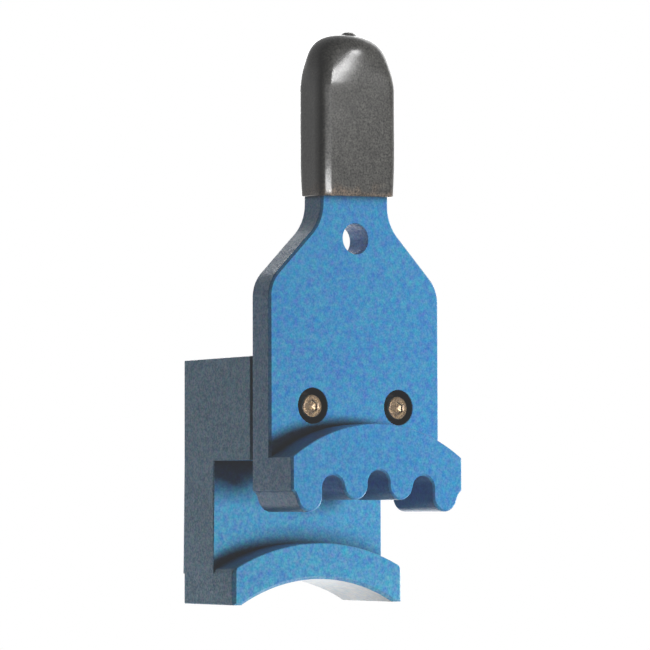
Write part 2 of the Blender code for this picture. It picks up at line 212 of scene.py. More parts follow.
def inset_at(cut, depth):
    """How far a chamfer with softened edges stands in from the outline, at this depth below the face."""
    soft, end = EDGE_SOFTNESS, cut + EDGE_TAIL
    if cut == 0 or depth >= end:
        return 0.0
    if depth < soft * (1 - math.cos(EIGHTH_TURN)):
        return end - math.sqrt(soft**2 - (soft - depth) ** 2)
    if depth > end - soft * math.sin(EIGHTH_TURN):
        return soft - math.sqrt(soft**2 - (end - depth) ** 2)
    return cut - depth


def slice_depths(edges, face):
    """Depths at which an outline's chamfers are sliced, from the face inwards."""
    depths = [0.0]
    for cut in sorted({cut for edge in edges for cut in getattr(edge, face)} - {0.0}):
        for i in range(EDGE_STEPS + 1):
            angle = EIGHTH_TURN * i / EDGE_STEPS
            depths.append(EDGE_SOFTNESS * (1 - math.cos(angle)))
            depths.append(cut + EDGE_TAIL - EDGE_SOFTNESS * math.sin(angle))
    depths.sort()
    return [depth for i, depth in enumerate(depths) if i == 0 or depth - depths[i - 1] > TINY]


def slice_outline(edges, face, depth):
    """Points of the outline at this depth below its front or back face."""
    insets = [[inset_at(cut, depth) for cut in getattr(edge, face)] for edge in edges]
    count = len(edges)
    starts = [meet(edges[i - 1], edges[i], insets[i - 1][1], insets[i][0]) for i in range(count)]
    for i, edge in enumerate(edges):
        if 0 < edge.radius <= max(insets[i]):
            after = (i + 1) % count
            starts[i] = meet(edges[i - 1], edges[after], insets[i - 1][1], insets[after][0])
            starts[after] = starts[i].copy()
    points = []
    for i, edge in enumerate(edges):
        points.append(starts[i])
        first, last = starts[i], starts[(i + 1) % count]
        swallowed = (last - first).length < TINY
        for step in range(1, edge.steps):
            if swallowed:
                points.append(first)
                continue
            share = step / edge.steps
            from_angle = math.atan2(first.y - edge.centre.y, first.x - edge.centre.x)
            to_angle = math.atan2(last.y - edge.centre.y, last.x - edge.centre.x)
            sweep = (edge.sign() * (to_angle - from_angle)) % math.tau
            angle = from_angle + edge.sign() * sweep * share
            inset = insets[i][0] * (1 - share) + insets[i][1] * share
            radius = abs(edge.radius - inset)
            points.append(edge.centre + radius * Vector((math.cos(angle), math.sin(angle))))
    return points


def rounded_edges(corners, front, back):
    """Edges along a path of (x, z, radius) corners. The first and last corners are its ends."""
    edges = []
    start = Vector(corners[0][:2])
    for before, (x, z, radius), after in zip(corners, corners[1:], corners[2:]):
        corner = Vector((x, z))
        behind = (Vector(before[:2]) - corner).normalized()
        ahead = (Vector(after[:2]) - corner).normalized()
        half_angle = behind.angle(ahead) / 2
        reach = radius / math.tan(half_angle)
        centre = corner + (behind + ahead).normalized() * radius / math.sin(half_angle)
        signed = math.copysign(radius, ahead.cross(behind))
        steps = steps_for(math.pi - 2 * half_angle, ARC_STEP)
        edges.append(straight(start, corner, front, back))
        edges.append(bow(corner + behind * reach, centre, signed, steps, front, back))
        start = corner + ahead * reach
    edges.append(straight(start, Vector(corners[-1][:2]), front, back))
    return edges


# Outlines of the two machined parts

ARCH_AXIS = Vector((0, 0))
WHEEL_AXIS = Vector((0, WHEEL_AXIS_Z))
PAD_LOW = Vector((HALF_WIDTH, PAD_BOTTOM_Z))
PAD_HIGH = Vector((HALF_WIDTH, PAD_TOP_Z))


def height_on_wheel(radius, x):
    """Height of the top of a circle about the held wheel's axis, at x."""
    return WHEEL_AXIS_Z + math.sqrt(radius**2 - x**2)


def height_on_arch(x):
    return math.sqrt(JAW_TOP_RADIUS**2 - x**2)


def tooth_edges(front, back):
    """The toothed underside, left to right: notches and fingers joined by their shared tangents."""
    rounds = []
    last_step = 2 * NOTCHES_EACH_SIDE
    for step in range(-last_step, last_step + 1):
        x = step * TOOTH_PITCH / 2
        if step % 2 == 0:
            lift = SIDE_NOTCH_RAISE if abs(step) == last_step else 0
            rounds.append((Vector((x, height_on_wheel(ROOT_RADIUS, x) - NOTCH_RADIUS + lift)), -NOTCH_RADIUS))
        else:
            rounds.append((Vector((x, height_on_wheel(TIP_RADIUS, x) + FINGER_RADIUS)), FINGER_RADIUS))
    edges = []
    side_x = -HALF_WIDTH
    overlap = side_x - rounds[0][0].x
    start = Vector((side_x, rounds[0][0].y + math.sqrt(NOTCH_RADIUS**2 - overlap**2)))
    for (centre, radius), following in zip(rounds, rounds[1:] + [None]):
        if following is None:
            edges.append(bow(start, centre, radius, CORNER_STEPS * 4, front, back))
            break
        between = following[0] - centre
        angle = math.atan2(between.y, between.x) - math.acos((radius - following[1]) / between.length)
        normal = Vector((math.cos(angle), math.sin(angle)))
        steps = steps_for(math.pi, SMALL_ARC_STEP)
        edges.append(bow(start, centre, radius, steps, front, back))
        leave, arrive = centre + normal * radius, following[0] + normal * following[1]
        edges.append(straight(leave, arrive, front, back))
        start = arrive
    return edges


def side_notch_top():
    """Where the outermost notch runs out into the right side face."""
    x = NOTCHES_EACH_SIDE * TOOTH_PITCH
    centre_z = height_on_wheel(ROOT_RADIUS, x) - NOTCH_RADIUS + SIDE_NOTCH_RAISE
    return Vector((HALF_WIDTH, centre_z + math.sqrt(NOTCH_RADIUS**2 - (x - HALF_WIDTH) ** 2)))


def mirror(point):
    return Vector((-point.x, point.y))


def jaw_outline():
    """Teeth, side faces and crowned top of the jaw. The top is divided where the plate's face begins."""
    corner = Vector((HALF_WIDTH, height_on_arch(HALF_WIDTH)))
    inner_x = HALF_WIDTH - PLATE_CUT - EDGE_TAIL
    inner = Vector((inner_x, height_on_arch(inner_x)))
    steps = steps_for(2 * math.asin(inner_x / JAW_TOP_RADIUS), ARC_STEP)
    return soften_corners(tooth_edges(TOOTH_CUT, 0) + [
        straight(side_notch_top(), corner, JAW_SIDE_CUT),
        bow(corner, ARCH_AXIS, JAW_TOP_RADIUS, 1, ARCH_CUT, crisp=True),
        bow(inner, ARCH_AXIS, JAW_TOP_RADIUS, steps, ARCH_CUT),
        bow(mirror(inner), ARCH_AXIS, JAW_TOP_RADIUS, 1, ARCH_CUT),
        straight(mirror(corner), mirror(side_notch_top()), JAW_SIDE_CUT, crisp=True),
    ])


def plate_outline():
    """The whole outline behind the jaw: teeth, side faces, shoulders, neck and the tang inside the grip.

    Its front chamfer starts above the jaw's crowned top, which is the short step on each side.
    """
    corner = Vector((HALF_WIDTH, height_on_arch(HALF_WIDTH)))
    right = [
        (HALF_WIDTH, SHOULDER_Z, SHOULDER_RADIUS),
        (NECK_HALF_WIDTH, NECK_Z, NECK_RADIUS),
        (NECK_HALF_WIDTH, TANG_TOP_Z, TANG_TOP_RADIUS),
    ]
    left = [(-x, z, radius) for x, z, radius in reversed(right)]
    ends = [(corner.x, corner.y, 0), (-corner.x, corner.y, 0)]
    upper = rounded_edges(ends[:1] + right + left + ends[1:], PLATE_CUT, BACK_CUT)
    upper[0].crisp = True
    middle = len(upper) // 2
    wide = TANG_TOP_CUT
    for edge, cuts in zip(upper[middle - 1:middle + 2], ((0, 1), (1, 1), (1, 0))):
        edge.front = tuple(wide if cut else PLATE_CUT for cut in cuts)
        edge.back = tuple(wide if cut else BACK_CUT for cut in cuts)
    return soften_corners(tooth_edges(0, BACK_CUT) + [
        straight(side_notch_top(), corner, 0, BACK_CUT),
        bow(corner, ARCH_AXIS, JAW_TOP_RADIUS, 1, crisp=True),
        *upper,
        bow(mirror(corner), ARCH_AXIS, JAW_TOP_RADIUS, 1, crisp=True),
        straight(mirror(corner), mirror(side_notch_top()), 0, BACK_CUT, crisp=True),
    ])


def foot_edges(foot_front, hub_front, back):
    """Underside of the saddle, left to right: a foot, the arch that rides on the hub, and the other foot."""
    left, right = Vector((-HALF_WIDTH, 0)), Vector((HALF_WIDTH, 0))
    meets_floor = Vector((math.sqrt(HUB_RADIUS**2 - WHEEL_AXIS_Z**2), 0))
    steps = steps_for(2 * math.asin(meets_floor.x / HUB_RADIUS), ARC_STEP)
    return [
        straight(left, mirror(meets_floor), foot_front, back),
        bow(mirror(meets_floor), WHEEL_AXIS, -HUB_RADIUS, steps, hub_front, back),
        straight(meets_floor, right, foot_front, back),
    ]


def ledge_corner():
    """Centre of the right upper corner's arc, and where the ledge's top leaves it."""
    reach = LEDGE_TOP_RADIUS - LEDGE_CORNER_RADIUS
    x = HALF_WIDTH - LEDGE_CORNER_RADIUS
    centre = Vector((x, height_on_wheel(reach, x)))
    return centre, WHEEL_AXIS + (centre - WHEEL_AXIS).normalized() * LEDGE_TOP_RADIUS


def ledge_outline():
    """The saddle's ledge. Its corner arcs are divided where the recess begins."""
    centre, top_start = ledge_corner()
    side_top = Vector((HALF_WIDTH, centre.y))
    inner_x = HALF_WIDTH - RECESS_CUT - EDGE_TAIL - centre.x
    inner = centre + Vector((inner_x, math.sqrt(LEDGE_CORNER_RADIUS**2 - inner_x**2)))
    top_steps = steps_for(2 * math.asin(top_start.x / LEDGE_TOP_RADIUS), ARC_STEP)
    side, top = LEDGE_SIDE_CUT, LEDGE_TOP_CUT
    part_way = side + (top - side) * math.acos(inner_x / LEDGE_CORNER_RADIUS) / (math.pi / 2)
    round_steps = CORNER_STEPS * 3
    right = [
        Edge(side_top, None, centre, LEDGE_CORNER_RADIUS, 1, (side, part_way)),
        Edge(inner, None, centre, LEDGE_CORNER_RADIUS, round_steps, (part_way, top)),
    ]
    left = [
        Edge(mirror(top_start), None, mirror(centre), LEDGE_CORNER_RADIUS, round_steps, (top, part_way)),
        Edge(mirror(inner), None, mirror(centre), LEDGE_CORNER_RADIUS, 1, (part_way, side)),
    ]
    return soften_corners(foot_edges(FOOT_CUT, HUB_CUT, 0) + [
        straight(Vector((HALF_WIDTH, 0)), side_top, side),
        *right,
        bow(top_start, WHEEL_AXIS, LEDGE_TOP_RADIUS, top_steps, top),
        *left,
        straight(mirror(side_top), Vector((-HALF_WIDTH, 0)), side),
    ])


def pad_outline():
    """The screw pad on top of the saddle. Its underside is divided where the recess begins."""
    inner = Vector((HALF_WIDTH - RECESS_CUT - EDGE_TAIL, PAD_BOTTOM_Z))
    stops = [mirror(inner), inner, PAD_LOW, PAD_HIGH, mirror(PAD_HIGH), mirror(PAD_LOW)]
    edges = [straight(a, b, PAD_CUT) for a, b in zip(stops, stops[1:] + stops[:1])]
    edges[2].crisp = edges[5].crisp = True
    return soften_corners(edges)


def block_outline():
    """The saddle behind the recess floor. The recess's front chamfers end at the ledge and at the pad."""
    centre, _ = ledge_corner()
    side_top = Vector((HALF_WIDTH, centre.y))
    low, high = PAD_LOW, PAD_HIGH
    foot = Vector((HALF_WIDTH, 0))
    inwards = Vector((0, PAD_BOTTOM_Z))
    back = BACK_CUT
    return soften_corners(foot_edges(0, 0, back) + [
        straight(foot, side_top, 0, back),
        bow(side_top, centre, LEDGE_CORNER_RADIUS, 1, crisp=True),
        straight(side_top, low, RECESS_CUT, back, crisp=True),
        straight(inwards, low, 0, 0, crisp=True),
        straight(low, high, 0, back, crisp=True),
        straight(high, mirror(high), 0, back),
        straight(mirror(high), mirror(low), 0, back),
        straight(mirror(low), inwards, 0, 0, crisp=True),
        straight(mirror(low), mirror(side_top), RECESS_CUT, back, crisp=True),
        bow(mirror(side_top), mirror(centre), LEDGE_CORNER_RADIUS, 1, crisp=True),
        straight(mirror(side_top), mirror(foot), 0, back, crisp=True),
    ])


# Meshes

def add_ring(bm, points, y):
    return [bm.verts.new((point.x, y, point.y)) for point in points]


def add_wall(bm, rings):
    """Quads between rings that follow each other. A ring of one vertex is a pole."""
    for near, far in zip(rings, rings[1:]):
        for i in range(max(len(near), len(far))):
            j = i + 1
            corners = [near[i % len(near)], near[j % len(near)], far[j % len(far)], far[i % len(far)]]
            bm.faces.new(list(dict.fromkeys(corners)))


def add_loft(bm, edges, front_y, back_y):
    """Side walls of an outline between two planes, with the chamfers at both ends."""
    fronts = [(depth, front_y + depth, "front") for depth in slice_depths(edges, "front")]
    backs = [(depth, back_y - depth, "back") for depth in reversed(slice_depths(edges, "back"))]
    add_wall(bm, [add_ring(bm, slice_outline(edges, face, depth), y) for depth, y, face in fronts + backs])


def circle(radius, x, z):
    angles = [math.tau * i / HOLE_SEGMENTS for i in range(HOLE_SEGMENTS)]
    return [Vector((x + radius * math.cos(a), z + radius * math.sin(a))) for a in angles]


def add_bore(bm, x, z, rows):
    """Wall of a round hole along Y, through rows of (radius, y). A radius of 0 closes it."""
    rings = []
    for radius, y in rows:
        rings.append(add_ring(bm, circle(radius, x, z) if radius else [Vector((x, z))], y))
    add_wall(bm, rings)


def weld(bm):
    bmesh.ops.remove_doubles(bm, verts=bm.verts, dist=TINY / 2)
    bmesh.ops.dissolve_degenerate(bm, edges=bm.edges, dist=TINY / 2)


def close_planes(bm, planes):
    """Fills what is still open in each plane Y = y, round the holes in it."""
    weld(bm)
    for y in planes:
        rim = [e for e in bm.edges if e.is_boundary and all(abs(v.co.y - y) < TINY for v in e.verts)]
        bmesh.ops.triangle_fill(bm, use_beauty=True, edges=rim, normal=(0, 1, 0))
    for _ in range(SLIVER_PASSES):
        weld(bm)


def finish_mesh(name, bm, material, sharp=math.radians(32)):
    """Turns a bmesh into a smooth-shaded piece of the object whose flat faces stay flat."""
    bmesh.ops.recalc_face_normals(bm, faces=bm.faces)
    mesh = bpy.data.meshes.new(name)
    bm.to_mesh(mesh)
    bm.free()
    mesh.shade_smooth()
    mesh.set_sharp_from_angle(angle=sharp)
    mesh.materials.append(material)
    piece = bpy.data.objects.new(name, mesh)
    bpy.context.scene.collection.objects.link(piece)
    normals = piece.modifiers.new("flat_faces", "WEIGHTED_NORMAL")
    normals.keep_sharp = True
    return piece


def place(piece, slot, node):
    """Lets a piece stand for its CAD node."""
    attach(piece, BODY)
    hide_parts(node)


def axis_of(node):
    """Where the axis of a turned CAD node crosses the XZ plane."""
    low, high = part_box(node)
    return (low.x + high.x) / 2, (low.z + high.z) / 2


def turned_size(node):
    """Radius and length of a turned CAD node."""
    low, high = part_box(node)
    return (high.x - low.x) / 2, high.y - low.y


def add_dowel_hole(bm, side, open_y, end_y, point):
    """A blind hole for a dowel, from the face it opens in to its drill point."""
    dowel = f"dowel_pin_{side}"
    radius = turned_size(dowel)[0] + FIT_GAP
    add_bore(bm, *axis_of(dowel), [(radius, open_y), (radius, end_y), (0, end_y + point)])


def make_toothed_jaw(material):
    bm = bmesh.new()
    add_loft(bm, jaw_outline(), JAW_FRONT_Y, PLATE_FRONT_Y)
    add_loft(bm, plate_outline(), PLATE_FRONT_Y, PLATE_BACK_Y)
    add_bore(bm, 0, HANG_HOLE_Z, [
        (HANG_HOLE_RADIUS + HOLE_CUT, PLATE_FRONT_Y),
        (HANG_HOLE_RADIUS, PLATE_FRONT_Y + HOLE_CUT),
        (HANG_HOLE_RADIUS, PLATE_BACK_Y - HOLE_CUT),
        (HANG_HOLE_RADIUS + HOLE_CUT, PLATE_BACK_Y),
    ])
    for side in SIDES:
        x, z = axis_of(f"cap_screw_{side}")
        floor_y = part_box(f"washer_{side}")[1].y + FIT_GAP
        add_bore(bm, x, z + SCREW_SAG, [
            (COUNTERBORE_RADIUS + HOLE_CUT, PLATE_FRONT_Y),
            (COUNTERBORE_RADIUS, PLATE_FRONT_Y + HOLE_CUT),
            (COUNTERBORE_RADIUS, floor_y),
            (CLEARANCE_RADIUS, floor_y),
            (CLEARANCE_RADIUS, PLATE_BACK_Y),
        ])
        add_dowel_hole(bm, side, PLATE_BACK_Y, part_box(f"dowel_pin_{side}")[0].y - FIT_GAP, 0)
    close_planes(bm, [JAW_FRONT_Y, PLATE_FRONT_Y, PLATE_BACK_Y])
    place(finish_mesh("toothed_jaw", bm, material), "blue_anodised", "front_jaw")


def make_saddle_block(material):
    bm = bmesh.new()
    add_loft(bm, block_outline(), RECESS_Y, REAR_Y)
    add_loft(bm, pad_outline(), PAD_FRONT_Y, RECESS_Y)
    add_loft(bm, ledge_outline(), LEDGE_FRONT_Y, RECESS_Y)
    for side in SIDES:
        x, z = axis_of(f"cap_screw_{side}")
        insert = f"thread_insert_{side}"
        pocket = turned_size(insert)[0] + FIT_GAP
        pocket_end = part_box(insert)[1].y + FIT_GAP
        screw_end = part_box(f"cap_screw_{side}")[1].y + FIT_GAP
        add_bore(bm, x, z, [
            (pocket, PAD_FRONT_Y),
            (pocket, pocket_end),
            (LOOSE_RADIUS, pocket_end),
            (LOOSE_RADIUS, screw_end),
            (0, screw_end + DRILL_POINT),
        ])
        add_dowel_hole(bm, side, PAD_FRONT_Y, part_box(f"dowel_pin_{side}")[1].y + FIT_GAP, DRILL_POINT)
    close_planes(bm, [PAD_FRONT_Y, LEDGE_FRONT_Y, RECESS_Y, REAR_Y])
    place(finish_mesh("saddle_block", bm, material), "blue_anodised", "rear_saddle")


# Turned pieces. A ring's radius is a number or a function of the angle.

THREAD_STEPS = 6
RIM_STEPS = 4
SCREW_SEGMENTS = 96
HEAD_HEIGHT = 3.0 * MM
HEAD_EDGE = 0.45 * MM
SHANK_RADIUS = 1.5 * MM
SHANK_TIP = 0.4 * MM
THREAD_PITCH = 0.5 * MM
THREAD_DEPTH = 0.27 * MM
SOCKET_FLATS = 2.5 * MM
SOCKET_CHAMFER = 0.12 * MM
SOCKET_DEPTH = 0.55 * MM
SOCKET_POINT = 0.35 * MM
KNURL_DEPTH = 0.07 * MM
KNURL_COUNT = 24
INSERT_THREAD_PITCH = 0.8 * MM
INSERT_THREAD_DEPTH = 0.2 * MM
PIN_EDGE = 0.4 * MM
THIN_EDGE = 0.1 * MM


def turned_ring(bm, y, radius, segments):
    if radius == 0:
        return [bm.verts.new((0, y, 0))]
    angles = [math.tau * i / segments for i in range(segments)]
    radii = [radius(a) if callable(radius) else radius for a in angles]
    return [bm.verts.new((r * math.cos(a), y, r * math.sin(a))) for a, r in zip(angles, radii)]


def turned(name, rows, node, axis, material, segments, tube=False):
    """A solid turned along Y through rows of (y, radius). Y starts at its CAD node's front end."""
    bm = bmesh.new()
    rings = [turned_ring(bm, y, radius, segments) for y, radius in rows]
    add_wall(bm, rings + rings[:1] if tube else rings)
    piece = finish_mesh(name, bm, material)
    x, z = axis_of(axis)
    piece.location = (x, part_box(node)[0].y, z)
    return piece


def hexagon(across_flats):
    """Radius of a hexagonal hole by angle."""
    sixth = math.pi / 3
    return lambda angle: across_flats / 2 / math.cos((angle + sixth / 2) % sixth - sixth / 2)


def knurl(radius, depth, count):
    """Radius of a straight-knurled side by angle."""
    return lambda angle: radius - depth * abs(math.sin(angle * count / 2))


def thread_rows(start, end, radius, depth, pitch):
    """Rows along a screw thread that fades in and out over one turn."""
    rows = []
    count = round((end - start) / pitch * THREAD_STEPS)
    for i in range(count + 1):
        y = start + (end - start) * i / count
        fade = max(0.0, min(1.0, (y - start) / pitch, (end - y) / pitch))

        def ridge(angle, y=y, fade=fade):
            phase = (y / pitch - angle / math.tau) % 1
            return radius - depth * fade * (1 - abs(2 * phase - 1))

        rows.append((y, ridge))
    return rows


def rounded_rim(y, radius, size, inwards=1):
    """Rows round an edge, from the end face at y to the side. Inwards is the way into the piece along Y."""
    angles = [math.pi / 2 * i / RIM_STEPS for i in range(RIM_STEPS + 1)]
    return [(y + inwards * size * (1 - math.cos(a)), radius - size * (1 - math.sin(a))) for a in angles]


def make_screw(side, material):
    node = f"cap_screw_{side}"
    head, length = turned_size(node)
    mouth = SOCKET_FLATS / 2 / math.cos(math.pi / 6) + SOCKET_CHAMFER
    knurled = knurl(head, KNURL_DEPTH, KNURL_COUNT)
    rows = [
        (SOCKET_DEPTH + SOCKET_POINT, 0),
        (SOCKET_DEPTH, hexagon(SOCKET_FLATS * 0.96)),
        (SOCKET_CHAMFER, hexagon(SOCKET_FLATS)),
        (0, mouth),
        *rounded_rim(0, head, HEAD_EDGE),
        (HEAD_EDGE + THIN_EDGE, knurled),
        (HEAD_HEIGHT - 2 * THIN_EDGE, knurled),
        (HEAD_HEIGHT - THIN_EDGE, head),
        (HEAD_HEIGHT, head - THIN_EDGE),
        (HEAD_HEIGHT, SHANK_RADIUS),
        *thread_rows(HEAD_HEIGHT + THIN_EDGE, length - SHANK_TIP, SHANK_RADIUS, THREAD_DEPTH, THREAD_PITCH),
        (length, SHANK_RADIUS - SHANK_TIP),
        (length, 0),
    ]
    piece = turned(f"socket_screw_{side}", rows, node, node, material, SCREW_SEGMENTS)
    place(piece, "yellow_zinc", node)
    return piece


def make_washer(side, material):
    node = f"washer_{side}"
    radius, thickness = turned_size(node)
    rows = [
        *rounded_rim(0, radius, THIN_EDGE),
        *rounded_rim(thickness, radius, THIN_EDGE, -1)[::-1],
        (thickness, LOOSE_RADIUS),
        (0, LOOSE_RADIUS),
    ]
    axis = f"cap_screw_{side}"
    piece = turned(f"plain_washer_{side}", rows, node, axis, material, HOLE_SEGMENTS, tube=True)
    place(piece, "black_oxide", node)


def make_insert(side, material):
    node = f"thread_insert_{side}"
    radius, length = turned_size(node)
    rows = [
        *thread_rows(0, length, radius, INSERT_THREAD_DEPTH, INSERT_THREAD_PITCH),
        (length, LOOSE_RADIUS),
        (0, LOOSE_RADIUS),
    ]
    axis = f"cap_screw_{side}"
    piece = turned(f"steel_insert_{side}", rows, node, axis, material, HOLE_SEGMENTS // 2, tube=True)
    place(piece, "bright_steel", node)


def make_dowel(side, material):
    node = f"dowel_pin_{side}"
    radius, length = turned_size(node)
    rows = [
        (0, 0),
        *rounded_rim(0, radius, PIN_EDGE),
        *rounded_rim(length, radius, PIN_EDGE, -1)[::-1],
        (length, 0),
    ]
    piece = turned(f"dowel_{side}", rows, node, node, material, HOLE_SEGMENTS // 2)
    place(piece, "bright_steel", node)


# Dipped grip

GRIP_TOP_Z = grip_high.z - 0.6 * MM
GRIP_HALF_WIDTH = 10.99 * MM
GRIP_HALF_DEPTH = 5.2 * MM
GRIP_MIDDLE_Y = (grip_high.y + grip_low.y) / 2 - 0.5 * MM
GRIP_WALL = 0.95 * MM
GRIP_CORNER = 2.9 * MM
GRIP_CROWN = 0.12 * MM
WIDTH_DOME = (118.9 * MM, 3.6, 2.6)
DEPTH_DOME = (124.5 * MM, 3.0, 2.5)
ROUND_START_Z = 117.5 * MM
ROUND_END_Z = 129.0 * MM
MOUTH_TAPER = 0.23 * MM
MOUTH_TAPER_HEIGHT = 9.0 * MM
MOUTH_TILT = Vector((0.0347, 0.036))
MOUTH_RISE = 0.4 * MM
MOUTH_TILT_HEIGHT = 12.0 * MM
LIP_RADIUS = 0.25 * MM
SKIN_WAVE = 0.05 * MM
SKIN_WAVE_SCALE = 110.0
DRIP_CENTRE_X = 0.6 * MM
DRIP_HALF_WIDTH = 2.0 * MM
DRIP_HALF_DEPTH = 1.5 * MM
DRIP_HEIGHT = 0.8 * MM
GRIP_DOME_RINGS = 44
GRIP_SIDE_RINGS = 28
GRIP_CORNER_STEPS = 14
GRIP_FRONT_STEPS = 24
GRIP_SIDE_STEPS = 8


def dome(z, half, shape):
    """Half size at height z of a form that closes at the grip's top."""
    start, power, fullness = shape
    if z <= start:
        return half
    share = min(1.0, (z - start) / (GRIP_TOP_Z - start))
    return half * (1 - share**power) ** (1 / fullness)


def grip_section(half_width, half_depth, corner, z):
    """A rounded rectangle with slightly crowned long sides, counterclockwise from +X, oval in the dome."""
    corner = min(corner, half_width, half_depth)
    flat_x, flat_y = half_width - corner, half_depth - corner
    points = []
    for quarter, (sx, sy) in enumerate(((1, 1), (-1, 1), (-1, -1), (1, -1))):
        centre = Vector((sx * flat_x, sy * flat_y))
        for step in range(GRIP_CORNER_STEPS + 1):
            angle = math.pi / 2 * (quarter + step / GRIP_CORNER_STEPS)
            points.append(centre + corner * Vector((math.cos(angle), math.sin(angle))))
        along_x = quarter % 2 == 0
        count = GRIP_FRONT_STEPS if along_x else GRIP_SIDE_STEPS
        last = points[-1]
        following = Vector((-last.x, last.y)) if along_x else Vector((last.x, -last.y))
        points += [last.lerp(following, step / count) for step in range(1, count)]
    share = min(1.0, max(0.0, (z - ROUND_START_Z) / (ROUND_END_Z - ROUND_START_Z)))
    roundness = share * share * (3 - 2 * share)
    for point in points:
        bulge = max(0.0, 1 - (point.x / half_width) ** 2)
        point.y += math.copysign(GRIP_CROWN * bulge * half_depth / GRIP_HALF_DEPTH, point.y)
        angle = math.atan2(point.y / half_depth, point.x / half_width)
        oval = Vector((half_width * math.cos(angle), half_depth * math.sin(angle)))
        point += (oval - point) * roundness
    return [Vector((point.x, point.y + GRIP_MIDDLE_Y, z)) for point in points]


def grip_ring(z, offset):
    """Section of the grip at height z, moved inwards by an offset."""
    low = max(0.0, 1 - (z - MOUTH_Z) / MOUTH_TAPER_HEIGHT)
    taper = MOUTH_TAPER * low * low
    scaled = z + offset * max(0.0, (z - WIDTH_DOME[0]) / (GRIP_TOP_Z - WIDTH_DOME[0]))
    half_width = dome(scaled, GRIP_HALF_WIDTH, WIDTH_DOME) - taper - offset
    half_depth = dome(scaled, GRIP_HALF_DEPTH, DEPTH_DOME) - taper - offset
    return grip_section(max(TINY, half_width), max(TINY, half_depth), GRIP_CORNER - offset, z)


def shape_skin(point, outer):
    """Tilts the mouth's line, and gives the outer skin its slight waves and the drip on top."""
    near_mouth = max(0.0, 1 - (point.z - MOUTH_Z) / MOUTH_TILT_HEIGHT)
    tilt = MOUTH_RISE + MOUTH_TILT.x * point.x + MOUTH_TILT.y * (point.y - GRIP_MIDDLE_Y)
    point.z += tilt * near_mouth
    if not outer:
        return
    outwards = Vector((point.x / GRIP_HALF_WIDTH, (point.y - GRIP_MIDDLE_Y) / GRIP_HALF_DEPTH, 0))
    point += outwards * SKIN_WAVE * noise.noise(point * SKIN_WAVE_SCALE)
    across = (point.x - DRIP_CENTRE_X) / DRIP_HALF_WIDTH
    along = (point.y - GRIP_MIDDLE_Y) / DRIP_HALF_DEPTH
    spread = across**2 + along**2
    if spread < 1 and point.z > WIDTH_DOME[0]:
        point.z += DRIP_HEIGHT * (1 - spread**2) ** 0.5


def make_grip(material):
    """A closed sleeve: up the outside, over the top, and back down along the tang to the mouth."""
    start, power, fullness = WIDTH_DOME
    lip_top = MOUTH_Z + LIP_RADIUS
    outer_levels = [lip_top + (start - lip_top) * i / GRIP_SIDE_RINGS for i in range(GRIP_SIDE_RINGS)]
    for i in range(GRIP_DOME_RINGS):
        size = math.cos(math.pi / 2 * i / GRIP_DOME_RINGS)
        outer_levels.append(start + (GRIP_TOP_Z - start) * (1 - size**fullness) ** (1 / power))
    bm = bmesh.new()

    def ring(points, outer):
        for point in points:
            shape_skin(point, outer)
        return [bm.verts.new(point) for point in points]

    inner_top = GRIP_TOP_Z - GRIP_WALL
    inner_levels = [z for z in outer_levels if z < inner_top - GRIP_WALL / 2]
    lip = [math.pi / 2 * i / RIM_STEPS for i in range(RIM_STEPS)]
    rings = [ring([Vector((0, GRIP_MIDDLE_Y, inner_top))], False)]
    rings += [ring(grip_ring(z, GRIP_WALL), False) for z in reversed(inner_levels)]
    rings += [ring(grip_ring(MOUTH_Z, GRIP_WALL), False)]
    rings += [
        ring(grip_ring(MOUTH_Z + LIP_RADIUS * (1 - math.cos(a)), LIP_RADIUS * (1 - math.sin(a))), False)
        for a in lip
    ]
    rings += [ring(grip_ring(z, 0), True) for z in outer_levels]
    rings += [ring([Vector((0, GRIP_MIDDLE_Y, GRIP_TOP_Z))], True)]
    add_wall(bm, rings)
    weld(bm)
    grip = finish_mesh("dipped_grip", bm, material, sharp=math.radians(60))
    place(grip, "dark_vinyl", "vinyl_grip")
    return grip


# Materials

SEAT_FADE = 0.3 * MM


def feed(tree, socket, value):
    """Links a socket to another, or sets its value."""
    if isinstance(value, bpy.types.NodeSocket):
        tree.links.new(value, socket)
    else:
        socket.default_value = value


def add_node(tree, kind, inputs=None, **settings):
    node = tree.nodes.new(kind)
    for name, value in settings.items():
        setattr(node, name, value)
    for name, value in (inputs or {}).items():
        feed(tree, node.inputs[name], value)
    return node


def ramp(tree, value, low, high, to_low, to_high):
    """Maps low..high to to_low..to_high, smoothly and clamped. The ends are numbers or sockets."""
    inputs = {"Value": value, "From Min": low, "From Max": high, "To Min": to_low, "To Max": to_high}
    return add_node(tree, "ShaderNodeMapRange", inputs, interpolation_type="SMOOTHSTEP").outputs["Result"]


